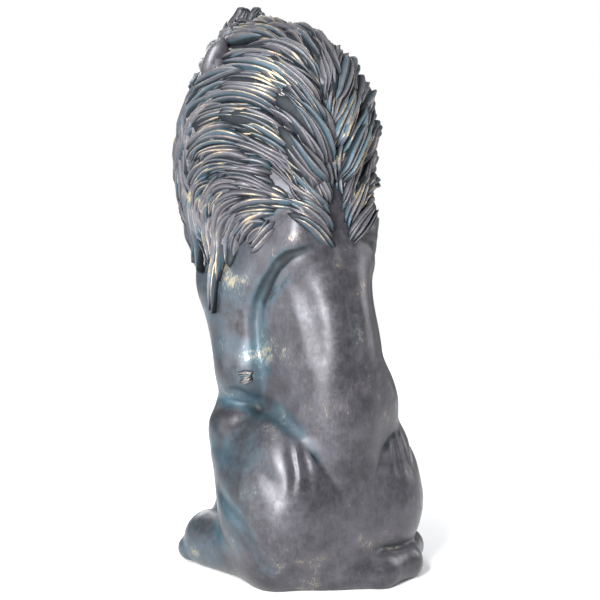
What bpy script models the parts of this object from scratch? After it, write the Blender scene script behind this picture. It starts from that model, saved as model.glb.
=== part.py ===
# Seated lion garden statue: one hollow resin casting, modelled as one closed solid.
# The lion faces -Y and its left side is +X. The origin is under the middle of its footprint.
# The pose, proportions and carving are shares of the height.

import math
import random

import bmesh
import bpy
import numpy as np
from mathutils import Matrix, Vector

HEIGHT = 0.75  # metres, from the ground to the tip of the forelock
BLOCK_VOXEL = 0.0060  # mesh size of the blocked-out figure, in metres
SOLID_VOXEL = 0.0032  # mesh size at which the locks and the figure are fused
MOST_TRIANGLES = 9700  # of the finished solid
PATINA = (0.155, 0.165, 0.190, 1.0)  # dark slate bronze
ROUGHNESS = 0.42
METALLIC = 0.35

# Places on the lion's left half, as shares of the height: to its left, backwards, up
SCAPULA = (0.054, 0.088, 0.580)
SHOULDER = (0.090, -0.034, 0.515)
ELBOW = (0.106, 0.014, 0.378)
WRIST = (0.073, -0.074, 0.095)
FOREPAW = (0.075, -0.122, 0.036)
HIP = (0.074, 0.118, 0.125)
KNEE = (0.112, 0.008, 0.262)
HOCK = (0.114, 0.120, 0.046)
HINDPAW = (0.138, -0.050, 0.048)
FACE = (0.0, -0.150, 0.868)
EAR = (0.107, -0.085, 0.905)
NECK_MIDDLE = -0.045  # how far back the upright axis of the mane stands
# Rows of locks: how far round from the nape in degrees, and the heights of their lowest and highest roots
MANE_ROWS = (
    (128, 0.640, 0.78),
    (104, 0.645, 0.84),
    (78, 0.650, 0.875),
    (52, 0.645, 0.905),
    (27, 0.632, 0.900),
    (4, 0.575, 0.890),
)


def vector(place):
    return np.array(place, dtype=float)


def between(a, b, share):
    return vector(a) + (vector(b) - vector(a)) * share


def turned(x=0.0, y=0.0, z=0.0):
    """The axes of a form turned by these degrees about X, then Y, then Z."""
    turn = Matrix.Rotation(math.radians(z), 3, "Z") @ Matrix.Rotation(math.radians(y), 3, "Y")
    return np.array(turn @ Matrix.Rotation(math.radians(x), 3, "X"))


def lengths_of(vectors):
    return np.maximum(np.linalg.norm(vectors, axis=-1, keepdims=True), 1e-12)


class Mass:
    """A rounded mass of muscle or hair: an ellipsoid."""

    def __init__(self, centre, radii, turn=None, blend=0.03):
        self.centre = vector(centre)
        self.radii = vector(radii)
        self.turn = turned() if turn is None else turn
        self.blend = blend

    def distance(self, points):
        local = (points - self.centre) @ self.turn / self.radii
        reach = np.linalg.norm(local, axis=1)
        slope = np.linalg.norm(local / self.radii, axis=1)
        return reach * (reach - 1.0) / np.maximum(slope, 1e-9)

    def block(self, mesh):
        turn = Matrix(self.turn.tolist()).to_4x4()
        scale = Matrix.Diagonal(Vector((*self.radii, 1.0)))
        matrix = Matrix.Translation(Vector(self.centre)) @ turn @ scale
        bmesh.ops.create_uvsphere(mesh, u_segments=32, v_segments=20, radius=1.0, matrix=matrix)


class Limb:
    """A limb: a round bar from one place to another, with a radius at each end."""

    def __init__(self, start, end, start_radius, end_radius, blend=0.03):
        self.start = vector(start)
        self.end = vector(end)
        self.start_radius = start_radius
        self.end_radius = end_radius
        self.blend = blend

    def distance(self, points):
        along = self.end - self.start
        share = np.clip((points - self.start) @ along / (along @ along), 0.0, 1.0)
        radius = self.start_radius + (self.end_radius - self.start_radius) * share
        return np.linalg.norm(points - self.start - share[:, None] * along, axis=1) - radius

    def block(self, mesh):
        start, end = Vector(self.start), Vector(self.end)
        for centre, radius in ((start, self.start_radius), (end, self.end_radius)):
            place = Matrix.Translation(centre)
            bmesh.ops.create_uvsphere(mesh, u_segments=24, v_segments=16, radius=radius, matrix=place)
        axis = (end - start).to_track_quat("Z", "Y").to_matrix().to_4x4()
        bmesh.ops.create_cone(
            mesh,
            cap_ends=True,
            segments=24,
            radius1=self.start_radius,
            radius2=self.end_radius,
            depth=(end - start).length,
            matrix=Matrix.Translation((start + end) / 2) @ axis,
        )


class Stroke:
    """A groove (depth above 0) or a ridge (depth below 0) along a line that lies near the skin."""

    def __init__(self, places, width, depth):
        self.places = [vector(p) for p in places]
        self.width = width
        self.depth = depth

    def height(self, points):
        nearest = np.full(len(points), 1e9)
        fade = np.zeros(len(points))
        count = len(self.places) - 1
        for i in range(count):
            start, end = self.places[i], self.places[i + 1]
            along = end - start
            share = np.clip((points - start) @ along / (along @ along), 0.0, 1.0)
            away = np.linalg.norm(points - start - share[:, None] * along, axis=1)
            closer = away < nearest
            nearest = np.where(closer, away, nearest)
            fade = np.where(closer, (i + share) / count, fade)
        taper = np.clip(4.0 * fade * (1.0 - fade) + 0.05, 0.0, 1.0) ** 0.8
        return self.depth * taper * np.exp(-((nearest / self.width) ** 2))


def soft_union(a, b, blend):
    """The smaller of two distances, with a fillet where they are alike."""
    near = np.maximum(blend - np.abs(a - b), 0.0) / blend
    return np.minimum(a, b) - near * near * blend / 4.0


class Figure:
    """Paired forms, which the lion's right half repeats, forms on one side only, and strokes."""

    def __init__(self, paired, single=(), strokes=()):
        self.paired = list(paired)
        self.single = list(single)
        self.strokes = list(strokes)

    def distance(self, points):
        folded = points.copy()
        folded[:, 0] = np.abs(folded[:, 0])
        total = np.full(len(points), 1e3)
        for form in self.paired:
            total = soft_union(total, form.distance(folded), form.blend)
        for form in self.single:
            total = soft_union(total, form.distance(points), form.blend)
        for stroke in self.strokes:
            total = total + stroke.height(folded)
        return total

    def settled(self, points, rounds=4):
        """The points moved onto the skin, and the way out there."""
        step = 0.0006
        for _ in range(rounds):
            here = self.distance(points)
            slope = np.empty_like(points)
            for axis in range(3):
                beside = points.copy()
                beside[:, axis] += step
                slope[:, axis] = self.distance(beside) - here
            slope /= lengths_of(slope)
            points = points - slope * np.clip(here, -0.02, 0.02)[:, None]
        return points, slope

    def pieces(self):
        """All the forms as overlapping balls and bars, in shares of the height."""
        made = []
        for form in self.paired + self.single:
            mesh = bmesh.new()
            form.block(mesh)
            made.append(arrays_of(mesh))
            mesh.free()
        for points, faces in made[: len(self.paired)]:
            made.append((points * (-1.0, 1.0, 1.0), [face[::-1] for face in faces]))
        return made


def arrays_of(mesh):
    mesh.verts.index_update()
    points = np.array([v.co for v in mesh.verts])
    return points, [[v.index for v in face.verts] for face in mesh.faces]


def joined_mesh(name, pieces):
    """One mesh from several (points, faces), left as separate shells."""
    starts = np.cumsum([0] + [len(points) for points, _ in pieces])
    faces = [[i + start for i in face] for (_, part), start in zip(pieces, starts) for face in part]
    mesh = bpy.data.meshes.new(name)
    mesh.from_pydata(np.concatenate([points for points, _ in pieces]).tolist(), [], faces)
    return mesh


def trunk():
    return [
        Mass((0, 0.020, 0.575), (0.106, 0.136, 0.125), blend=0.05),
        Mass((0, 0.052, 0.440), (0.106, 0.142, 0.180), turn=turned(x=-8), blend=0.06),
        Mass((0, 0.110, 0.300), (0.097, 0.116, 0.180), turn=turned(x=-6), blend=0.06),
        Mass((0, 0.124, 0.110), (0.120, 0.101, 0.165), blend=0.05),
        Mass((0, 0.000, 0.150), (0.074, 0.070, 0.230), blend=0.03),
    ]


def forequarter():
    chest = (0.045, -0.085, 0.480)
    mid_forearm = between(ELBOW, WRIST, 0.35)
    return [
        Limb(SCAPULA, SHOULDER, 0.046, 0.062, blend=0.045),
        Mass((0.058, 0.116, 0.612), (0.036, 0.034, 0.046), blend=0.022),
        Limb(SHOULDER, ELBOW, 0.062, 0.048, blend=0.030),
        Limb((0.088, 0.030, 0.520), (0.099, 0.040, 0.368), 0.046, 0.028, blend=0.030),
        Limb(chest, SHOULDER, 0.070, 0.058, blend=0.045),
        Mass((0.100, -0.008, 0.450), (0.050, 0.062, 0.085), blend=0.025),
        Limb(ELBOW, mid_forearm, 0.045, 0.045, blend=0.035),
        Limb(mid_forearm, WRIST, 0.047, 0.034, blend=0.02),
        Limb(WRIST, FOREPAW, 0.035, 0.040, blend=0.02),
    ]


def toes(paw, reach, spread, radius, lift):
    """Four toes side by side in front of a paw's middle."""
    made = []
    for i in range(4):
        share = (i - 1.5) / 1.5
        root = (paw[0] + 0.60 * spread * share, paw[1] + 0.010, lift + 0.014)
        tip_y = paw[1] - reach * (1.0 - 0.20 * share * share)
        tip = (paw[0] + spread * share, tip_y, lift)
        made.append(Limb(root, tip, radius * 0.95, radius, blend=0.006))
    return made


def hindquarter():
    mid_shin = between(KNEE, HOCK, 0.55)
    return [
        Limb(HIP, KNEE, 0.104, 0.057, blend=0.010),
        Mass((0.084, 0.100, 0.140), (0.104, 0.112, 0.165), blend=0.022),
        Limb((0.122, 0.012, 0.215), (0.140, 0.080, 0.120), 0.042, 0.044, blend=0.03),
        Limb(KNEE, mid_shin, 0.048, 0.044, blend=0.02),
        Limb(mid_shin, HOCK, 0.044, 0.046, blend=0.02),
        Limb(HOCK, HINDPAW, 0.042, 0.053, blend=0.02),
    ]


def head():
    return [
        Mass((0, -0.108, 0.890), (0.080, 0.088, 0.080), blend=0.02),
        Mass((0, -0.176, 0.922), (0.048, 0.032, 0.032), blend=0.02),
        Limb((0.012, -0.198, 0.914), (0.013, -0.266, 0.882), 0.024, 0.018, blend=0.016),
        Limb((0.020, -0.200, 0.880), (0.030, -0.226, 0.862), 0.024, 0.024, blend=0.014),
        Mass((0.021, -0.258, 0.853), (0.029, 0.037, 0.030), blend=0.010),
        Mass((0.034, -0.240, 0.840), (0.022, 0.036, 0.025), blend=0.014),
        Mass((0, -0.250, 0.818), (0.027, 0.029, 0.023), blend=0.008),
        Limb((0.006, -0.232, 0.816), (0.046, -0.160, 0.822), 0.024, 0.036, blend=0.016),
        Mass((0.056, -0.158, 0.860), (0.034, 0.052, 0.044), blend=0.02),
        Limb((0.034, -0.206, 0.872), (0.070, -0.164, 0.884), 0.012, 0.014, blend=0.016),
        Limb((0.014, -0.208, 0.920), (0.042, -0.203, 0.925), 0.011, 0.011, blend=0.018),
        Limb((0.042, -0.203, 0.925), (0.066, -0.178, 0.912), 0.011, 0.008, blend=0.018),
    ]


def ears():
    """Upright leaf-shaped ears, cupped forwards, with a blunt tip."""
    lean = turned(x=-6, y=-20, z=-18)
    return [
        Limb((0.080, -0.082, 0.872), (0.096, -0.083, 0.892), 0.020, 0.016, blend=0.012),
        Mass(EAR, (0.022, 0.0115, 0.040), turn=lean, blend=0.008),
        Limb((0.098, -0.085, 0.928), (0.092, -0.085, 0.944), 0.010, 0.005, blend=0.008),
    ]


def forelocks():
    """Upright tufts of hair over the forehead."""
    return [
        Limb((0.012, -0.164, 0.940), (0.020, -0.162, 0.968), 0.024, 0.015, blend=0.012),
        Limb((0.020, -0.162, 0.968), (0.016, -0.150, 0.9920), 0.015, 0.0100, blend=0.006),
        Limb((0.028, -0.160, 0.940), (0.032, -0.152, 0.964), 0.016, 0.006, blend=0.008),
        Limb((0.008, -0.140, 0.950), (0.010, -0.120, 0.985), 0.018, 0.007, blend=0.010),
    ]


def face_strokes():
    mouth = [(0, -0.288, 0.832), (0.022, -0.282, 0.824), (0.042, -0.252, 0.822), (0.062, -0.206, 0.836)]
    return [
        Stroke([(0.022, -0.214, 0.897), (0.038, -0.210, 0.900), (0.054, -0.196, 0.898)], 0.011, 0.010),
        Stroke([(0, -0.302, 0.866), (0, -0.296, 0.848), (0, -0.286, 0.832)], 0.005, 0.008),
        Stroke(mouth, 0.006, 0.010),
        Stroke([(0.012, -0.278, 0.813), (0.030, -0.262, 0.808), (0.048, -0.220, 0.802)], 0.007, 0.006),
        Stroke([(0, -0.214, 0.934), (0, -0.200, 0.962)], 0.009, 0.006),
        Stroke([(0.106, -0.099, 0.894), (0.100, -0.099, 0.922)], 0.013, 0.009),
    ]


def face_details():
    return [
        Mass((0.038, -0.203, 0.8985), (0.0125, 0.0120, 0.0115)),
        Limb((0.021, -0.213, 0.894), (0.037, -0.2155, 0.9095), 0.0040, 0.0050),
        Limb((0.037, -0.2155, 0.9095), (0.057, -0.200, 0.900), 0.0050, 0.0040),
        Limb((0.021, -0.213, 0.893), (0.038, -0.2125, 0.8865), 0.0035, 0.0042),
        Limb((0.038, -0.2125, 0.8865), (0.056, -0.199, 0.895), 0.0042, 0.0035),
        Limb((0, -0.281, 0.889), (0.018, -0.276, 0.888), 0.0105, 0.0080),
        Limb((0, -0.289, 0.877), (0.012, -0.283, 0.880), 0.0090, 0.0075),
    ]


def body_strokes():
    """Folds, hollows and raised muscles of the left half."""
    fold = [(0.034, 0.157, 0.608), (0.062, 0.149, 0.597), (0.085, 0.129, 0.586), (0.097, 0.109, 0.567)]
    fold += [(0.104, 0.088, 0.534), (0.111, 0.072, 0.501), (0.116, 0.068, 0.462), (0.115, 0.073, 0.421)]
    fold += [(0.117, 0.078, 0.395)]
    knee_crease = [(0.106, 0.060, 0.318), (0.102, 0.090, 0.312), (0.100, 0.122, 0.302)]
    knee_crease += [(0.095, 0.150, 0.289), (0.090, 0.172, 0.270)]
    knee_top = [(0.156, 0.000, 0.330), (0.150, 0.020, 0.335), (0.141, 0.040, 0.337)]
    knee_top += [(0.128, 0.050, 0.330), (0.112, 0.054, 0.320), (0.102, 0.062, 0.314)]
    shin = [(0.183, 0.041, 0.177), (0.190, 0.089, 0.153), (0.186, 0.129, 0.131), (0.180, 0.145, 0.109)]
    shin += [(0.169, 0.154, 0.081), (0.148, 0.165, 0.045)]
    return [
        Stroke([(0, 0.152, 0.660), (0, 0.166, 0.610), (0, 0.178, 0.560)], 0.016, 0.011),
        Stroke([(0, 0.180, 0.545), (0, 0.190, 0.490), (0, 0.202, 0.420), (0, 0.210, 0.360)], 0.012, 0.005),
        Stroke(fold, 0.012, 0.007),
        Stroke(fold, 0.006, 0.002),
        Stroke([(0.119, 0.079, 0.400), (0.112, 0.082, 0.365), (0.106, 0.076, 0.330)], 0.010, 0.004),
        Stroke([(0.086, 0.142, 0.560), (0.072, 0.152, 0.515), (0.060, 0.170, 0.460), (0.060, 0.190, 0.400)],
               0.020, 0.0045),
        Stroke([(0.106, 0.080, 0.350), (0.099, 0.120, 0.338), (0.090, 0.155, 0.312)], 0.028, 0.009),
        Stroke(knee_crease, 0.013, 0.010),
        Stroke(knee_top, 0.009, 0.005),
        Stroke([(0.107, 0.160, 0.276), (0.112, 0.180, 0.245), (0.115, 0.193, 0.216), (0.124, 0.198, 0.186)],
               0.006, 0.005),
        Stroke([(0.100, 0.170, 0.268), (0.104, 0.186, 0.241), (0.104, 0.197, 0.210)], 0.006, -0.003),
        Stroke([(0.091, 0.174, 0.270), (0.094, 0.190, 0.243), (0.093, 0.199, 0.215), (0.091, 0.208, 0.186)],
               0.006, 0.005),
        Stroke([(0.080, 0.186, 0.255), (0.078, 0.196, 0.234), (0.074, 0.203, 0.210)], 0.009, -0.003),
        Stroke([(0.087, 0.178, 0.268), (0.062, 0.202, 0.225), (0.037, 0.214, 0.180)], 0.007, 0.005),
        Stroke([(0.150, 0.092, 0.268), (0.159, 0.152, 0.224), (0.136, 0.191, 0.188)], 0.018, 0.007),
        Stroke([(0.170, 0.005, 0.240), (0.167, 0.070, 0.235), (0.170, 0.117, 0.225)], 0.015, 0.005),
        Stroke(shin, 0.010, 0.009),
        Stroke([(0.140, -0.010, 0.110), (0.150, 0.050, 0.090), (0.150, 0.100, 0.060)], 0.012, 0.010),
    ]


def mane_core():
    return [
        Mass((0, -0.045, 0.857), (0.116, 0.137, 0.099), turn=turned(x=-16), blend=0.04),
        Mass((0, -0.038, 0.748), (0.160, 0.165, 0.165), blend=0.05),
        Mass((0, -0.090, 0.620), (0.136, 0.120, 0.165), blend=0.06),
        Mass((0, 0.000, 0.645), (0.112, 0.130, 0.100), blend=0.06),
    ]


def raised_haunch():
    """The top of the lion's right haunch, against the flank."""
    return [Mass((-0.068, 0.138, 0.308), (0.057, 0.057, 0.078), blend=0.03)]


def tail():
    route = [
        (0.010, 0.184, 0.034),
        (-0.050, 0.210, 0.026),
        (-0.114, 0.194, 0.028),
        (-0.169, 0.124, 0.030),
        (-0.187, 0.036, 0.028),
        (-0.186, -0.040, 0.028),
        (-0.170, -0.096, 0.026),
    ]
    radii = [0.038, 0.034, 0.031, 0.029, 0.026, 0.032, 0.016]
    made = []
    for i in range(len(route) - 1):
        made.append(Limb(route[i], route[i + 1], radii[i], radii[i + 1], blend=0.010))
    return made


def skin_under_mane():
    return Figure(trunk() + forequarter() + mane_core() + head())


def lion():
    paired = trunk() + forequarter() + hindquarter() + mane_core() + head() + ears() + forelocks()
    paired += toes(FOREPAW, 0.034, 0.028, 0.0195, 0.024)
    paired += toes(HINDPAW, 0.034, 0.031, 0.0240, 0.028)
    return Figure(paired, tail() + raised_haunch(), face_strokes() + body_strokes())


def pitched_flow(side, angle, pitch):
    """The way round the neck, away from the nape, that climbs at this pitch in degrees."""
    climb = np.radians(pitch)
    level = np.cos(climb)
    return np.stack([side * level * np.cos(angle), -level * np.sin(angle), np.sin(climb)], axis=1)


def nape_flow(points, side):
    """Up out of the parting on the nape, over, and down round the neck."""
    angle = np.arctan2(np.abs(points[:, 0]), points[:, 1] - NECK_MIDDLE)
    turn_over = [0, 15, 35, 55, 80, 105, 130, 180]
    climb = [74, 58, 30, 4, -30, -62, -88, -98]
    pitch = np.interp(np.degrees(angle), turn_over, climb)
    low = np.clip((0.70 - points[:, 2]) / 0.10, 0.0, 1.0)
    return pitched_flow(side, angle, pitch - low * 72.0 * np.clip(np.degrees(angle) / 34.0, 0.2, 1.0))


def crown_flow(points, side):
    """Back over the crown, and together towards the parting."""
    across = -0.35 * points[:, 0] / 0.08
    return np.stack([across, np.full(len(points), 1.0), np.full(len(points), -0.15)], axis=1)


def face_flow(points, side):
    """Outwards from the face and back, then down the further it is from the face."""
    out = points - vector(FACE)
    away = np.linalg.norm(out, axis=1)
    out[:, 1] = 0.0
    out /= lengths_of(out)
    fall = np.clip((away - 0.09) / 0.07, 0.0, 1.5)
    return out * (1.0, 1.0, 0.8) + np.stack([0 * fall, 0.75 - 0.3 * fall, -0.2 - 1.1 * fall], axis=1)


def chest_flow(points, side):
    """Down the chest, a little outwards."""
    return np.stack([points[:, 0] * 1.4, np.full(len(points), -0.1), np.full(len(points), -1.0)], axis=1)


class Locks:
    """Locks of hair that grow together: their lines on the skin, the way out, and their sizes."""

    def __init__(self, skin, flow, side, roots, lengths, widths, bends, lifts, steps=9):
        roots, out = skin.settled(vector(roots), rounds=5)
        lines, outs = [roots], [out]
        lengths = vector(lengths)
        for i in range(steps):
            way = flow(lines[-1], side)
            way /= lengths_of(way)
            turn = vector(bends) * (2.0 * (i + 0.5) / steps - 1.0)
            way = way + np.cross(outs[-1], way) * turn[:, None]
            way -= outs[-1] * np.sum(way * outs[-1], axis=1, keepdims=True)
            way /= lengths_of(way)
            points, out = skin.settled(lines[-1] + way * (lengths / steps)[:, None], rounds=2)
            lines.append(points)
            outs.append(out)
        self.lines = np.array(lines).transpose(1, 0, 2)
        self.outs = np.array(outs).transpose(1, 0, 2)
        self.widths = vector(widths)
        self.lifts = vector(lifts)
        self.side = side


class Rows:
    """Rows of locks for one half: their flow, and the place, length, width, bend and lift of each lock."""

    def __init__(self, chance, side):
        self.chance = chance
        self.side = side
        self.made = []

    def row(self, flow, places, length, width, lift):
        vary = self.chance.uniform
        size = [vary(0.78, 1.25) for _ in places]
        self.made.append((
            flow,
            [(self.side * x, y, z) for x, y, z in places],
            [length * s for s in size],
            [width * s * vary(0.85, 1.15) for s in size],
            [self.side * vary(-0.35, 0.35) for _ in places],
            [lift * vary(0.7, 1.25) for _ in places],
        ))

    def round_neck(self, degrees, low, high, pitch, radius=0.165):
        """Roots one above the other, this far round the neck from the nape."""
        count = int((high - low) / pitch)
        made = []
        for i in range(count + 1):
            angle = math.radians(degrees + self.chance.uniform(-8, 8) * min(1.0, degrees / 20))
            z = low + (high - low) * (i + self.chance.uniform(-0.30, 0.30)) / count
            made.append((radius * math.sin(angle), NECK_MIDDLE + radius * math.cos(angle), z))
        return made

    def round_face(self, radius, first, last, count, back):
        """Roots on a ring round the face, from these degrees to these, that far behind its middle."""
        made = []
        for i in range(count):
            share = (i + self.chance.uniform(-0.2, 0.2)) / (count - 1)
            angle = math.radians(first + (last - first) * share)
            place = (radius * math.sin(angle), FACE[1] + back, FACE[2] + radius * math.cos(angle))
            if back < 0.0 or math.dist(place, EAR) > 0.052:
                made.append(place)
        return made


def lock_rows(chance, side):
    """The mane's locks, from the chest and the nape to the face."""
    rows = Rows(chance, side)
    for i, low in enumerate(np.arange(0.485, 0.76, 0.046)):
        climb = 0.9 if i < 2 else 0.4
        places = []
        for x in np.arange(0.016, 0.13, 0.033):
            aside = chance.uniform(-0.006, 0.006)
            places.append((x + aside, -0.20, low + chance.uniform(-0.012, 0.012) + climb * x))
        rows.row(chest_flow, places, 0.110, 0.040, 1.0)
    for degrees, foot, top in MANE_ROWS:
        places = rows.round_neck(degrees, foot, top, 0.033)
        rows.row(nape_flow, places[:3], 0.110, 0.032, 0.60)
        rows.row(nape_flow, places[3:], 0.145, 0.040, 0.9 + (130 - degrees) * 0.003)
    rows.row(face_flow, rows.round_face(0.132, 62, 150, 8, 0.07), 0.130, 0.040, 1.1)
    rows.row(face_flow, rows.round_face(0.112, 66, 165, 9, 0.03), 0.115, 0.038, 1.1)
    rows.row(face_flow, rows.round_face(0.088, 60, 174, 9, -0.01), 0.085, 0.034, 1.1)
    rows.row(face_flow, rows.round_face(0.084, 16, 48, 3, -0.01), 0.060, 0.030, 0.5)
    crown = [(x, y, 0.96) for y in (0.03, -0.02, -0.07, -0.12) for x in (0.014, 0.044, 0.070)]
    rows.row(crown_flow, crown, 0.120, 0.036, 0.9)
    return rows.made


def grown(rows, skin, side):
    return [Locks(skin, flow, side, *sizes) for flow, *sizes in rows]


def mane(seed=7):
    skin = skin_under_mane()
    chance = random.Random(seed)
    made = []
    for side in (1.0, -1.0):
        made += grown(lock_rows(chance, side), skin, side)
    return made


def blades(locks, thickness=0.30, tilt=0.17, across=7):
    """Each lock as one closed leaf: a ridged back with its upper edge raised, coming to a point."""
    pieces = []
    spread = np.linspace(-1.0, 1.0, across)[:, None]
    crest = 1.0 - np.abs(spread) ** 1.7
    count = locks.lines.shape[1]
    along = np.linspace(0.0, 1.0, count)
    swell = np.interp(along, [0, 0.15, 0.40, 0.70, 0.90, 1.0], [0.40, 0.78, 1.0, 0.78, 0.40, 0.06])
    rise = np.interp(along, [0.0, 0.25, 0.7, 1.0], [-0.45, 0.10, 0.30, 0.28])
    for line, outs, width, lift in zip(locks.lines, locks.outs, locks.widths, locks.lifts):
        way = np.gradient(line, axis=0)
        way /= lengths_of(way)
        beside = np.cross(outs, way) * locks.side
        beside /= lengths_of(beside)
        rings = []
        for i in range(count):
            wide = width * swell[i]
            middle = line[i] + outs[i] * rise[i] * lift * width
            height = (crest * thickness - spread * tilt) * wide
            top = middle + beside[i] * spread * wide / 2 + outs[i] * height
            under = line[i] - outs[i] * width * 0.35 + beside[i] * wide * np.array([[0.3], [-0.3]])
            ring = np.concatenate([top, under])
            rings.append(ring if locks.side > 0 else ring[::-1])
        pieces.append(closed_rings(rings))
    return pieces


def closed_rings(rings):
    """A closed skin through rings of as many points each."""
    around = len(rings[0])
    points = np.concatenate(rings)
    faces = []
    for low in range(0, (len(rings) - 1) * around, around):
        for j in range(around):
            after = (j + 1) % around
            faces.append([low + j, low + after, low + around + after, low + around + j])
    faces.append(list(range(around))[::-1])
    faces.append([len(points) - around + j for j in range(around)])
    return points, faces


def new_object(name, mesh_data, collection):
    made = bpy.data.objects.new(name, mesh_data)
    collection.objects.link(made)
    return made


def evaluated_mesh(obj):
    graph = bpy.context.evaluated_depsgraph_get()
    return bpy.data.meshes.new_from_object(obj.evaluated_get(graph))


def voxel_fused(mesh_data, size, collection):
    """One closed skin round everything in the mesh."""
    helper = new_object("fusing", mesh_data, collection)
    remesh = helper.modifiers.new("fuse", "REMESH")
    remesh.mode = "VOXEL"
    remesh.voxel_size = size
    fused = evaluated_mesh(helper)
    bpy.data.objects.remove(helper)
    return fused


def points_of(mesh_data):
    flat = np.empty(len(mesh_data.vertices) * 3)
    mesh_data.vertices.foreach_get("co", flat)
    return flat.reshape(-1, 3)


def faces_of(mesh_data):
    return [list(face.vertices) for face in mesh_data.polygons]


def cut_flat(mesh_data):
    """The mesh without what is under the ground, closed there with a flat face."""
    mesh = bmesh.new()
    mesh.from_mesh(mesh_data)
    everything = mesh.verts[:] + mesh.edges[:] + mesh.faces[:]
    up = (0, 0, 1)
    cut = bmesh.ops.bisect_plane(mesh, geom=everything, plane_co=(0, 0, 0), plane_no=up, clear_inner=True)
    rim = [item for item in cut["geom_cut"] if isinstance(item, bmesh.types.BMEdge)]
    bmesh.ops.contextual_create(mesh, geom=rim)
    bmesh.ops.triangulate(mesh, faces=mesh.faces[:])
    mesh.to_mesh(mesh_data)
    mesh.free()


def thinned(mesh_data, most, collection):
    """The mesh with no more triangles than this."""
    mesh_data.calc_loop_triangles()
    share = most / len(mesh_data.loop_triangles)
    helper = new_object("thinning", mesh_data, collection)
    decimate = helper.modifiers.new("thin", "DECIMATE")
    decimate.ratio = min(share, 1.0)
    decimate.use_collapse_triangulate = True
    thin = evaluated_mesh(helper)
    bpy.data.objects.remove(helper)
    return thin


def keep_largest_piece(mesh_data):
    """Removes loose bits and closed pockets: everything but the largest connected piece."""
    mesh = bmesh.new()
    mesh.from_mesh(mesh_data)
    left = set(mesh.verts)
    best = set()
    while left:
        start = left.pop()
        found, edge = {start}, [start]
        while edge:
            vertex = edge.pop()
            for link in vertex.link_edges:
                other = link.other_vert(vertex)
                if other in left:
                    left.remove(other)
                    found.add(other)
                    edge.append(other)
        best = max(best, found, key=len)
    bmesh.ops.delete(mesh, geom=[v for v in mesh.verts if v not in best], context="VERTS")
    mesh.to_mesh(mesh_data)
    mesh.free()


def centred(mesh_data):
    """The mesh moved so that the origin is under the middle of its box."""
    points = points_of(mesh_data)
    middle = (points.min(axis=0) + points.max(axis=0)) / 2
    mesh_data.transform(Matrix.Translation((-middle[0], -middle[1], 0.0)))


def patina():
    material = bpy.data.materials.new("patina")
    material.diffuse_color = PATINA
    material.roughness = ROUGHNESS
    material.metallic = METALLIC
    material.use_nodes = True
    shader = material.node_tree.nodes["Principled BSDF"]
    shader.inputs["Base Color"].default_value = PATINA
    shader.inputs["Roughness"].default_value = ROUGHNESS
    shader.inputs["Metallic"].default_value = METALLIC
    return material


def main():
    for obj in list(bpy.data.objects):
        bpy.data.objects.remove(obj)
    collection = bpy.data.collections.new("lion_garden_statue")
    bpy.context.scene.collection.children.link(collection)
    figure = lion()
    skin = voxel_fused(joined_mesh("blocked", figure.pieces()), BLOCK_VOXEL / HEIGHT, collection)
    points, _ = figure.settled(points_of(skin))
    pieces = [(points, faces_of(skin))] + Figure(face_details()).pieces()
    for locks in mane():
        pieces += blades(locks)
    whole = joined_mesh("carved", pieces)
    whole.transform(Matrix.Scale(HEIGHT, 4))
    whole = voxel_fused(whole, SOLID_VOXEL, collection)
    keep_largest_piece(whole)
    cut_flat(whole)
    solid = thinned(whole, MOST_TRIANGLES, collection)
    solid.name = "lion"
    keep_largest_piece(solid)
    centred(solid)
    solid.materials.clear()
    solid.materials.append(patina())
    new_object("lion", solid, collection)


main()
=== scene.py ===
import math
import random
from collections import namedtuple

import bmesh
import bpy
import numpy as np
from mathutils import Matrix, Vector


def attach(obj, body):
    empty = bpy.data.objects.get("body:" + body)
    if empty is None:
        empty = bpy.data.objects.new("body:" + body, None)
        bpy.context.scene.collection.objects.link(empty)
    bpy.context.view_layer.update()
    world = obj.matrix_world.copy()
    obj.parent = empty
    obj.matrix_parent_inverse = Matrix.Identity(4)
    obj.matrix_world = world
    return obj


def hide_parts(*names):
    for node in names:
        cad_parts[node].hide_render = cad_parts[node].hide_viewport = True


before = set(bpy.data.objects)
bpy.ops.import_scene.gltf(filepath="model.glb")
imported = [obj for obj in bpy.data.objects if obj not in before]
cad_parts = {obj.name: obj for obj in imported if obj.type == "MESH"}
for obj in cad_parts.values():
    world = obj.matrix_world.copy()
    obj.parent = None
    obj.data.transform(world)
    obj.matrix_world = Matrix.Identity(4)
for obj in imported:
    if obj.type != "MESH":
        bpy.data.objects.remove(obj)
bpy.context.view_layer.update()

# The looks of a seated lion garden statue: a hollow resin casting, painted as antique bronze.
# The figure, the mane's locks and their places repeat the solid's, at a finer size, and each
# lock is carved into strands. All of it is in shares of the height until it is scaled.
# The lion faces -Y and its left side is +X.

HEIGHT = 0.75  # metres
MIDDLE = (-0.01035, -0.01920)  # where the solid's middle lies in the figure's own places, in metres
BODY_VOXEL = 0.0026  # mesh sizes, in metres
HEAD_VOXEL = 0.0013
HEAD_BLOCK = 0.0026  # mesh size of the head before its details are fused on
BODY_TRIANGLES = 160000
HEAD_TRIANGLES = 105000
TIP = 1.0002  # where the forelock's tips end, as a share of the height

# Places on the lion's left half, as shares of the height: to its left, backwards, up
SCAPULA = (0.054, 0.088, 0.580)
SHOULDER = (0.090, -0.034, 0.515)
ELBOW = (0.106, 0.014, 0.378)
WRIST = (0.073, -0.074, 0.095)
FOREPAW = (0.075, -0.122, 0.036)
HIP = (0.074, 0.118, 0.125)
KNEE = (0.112, 0.008, 0.262)
HOCK = (0.114, 0.120, 0.046)
HINDPAW = (0.138, -0.050, 0.048)
FACE = (0.0, -0.150, 0.868)
EAR = (0.107, -0.085, 0.905)
NECK_MIDDLE = -0.045  # how far back the upright axis of the mane stands
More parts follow.
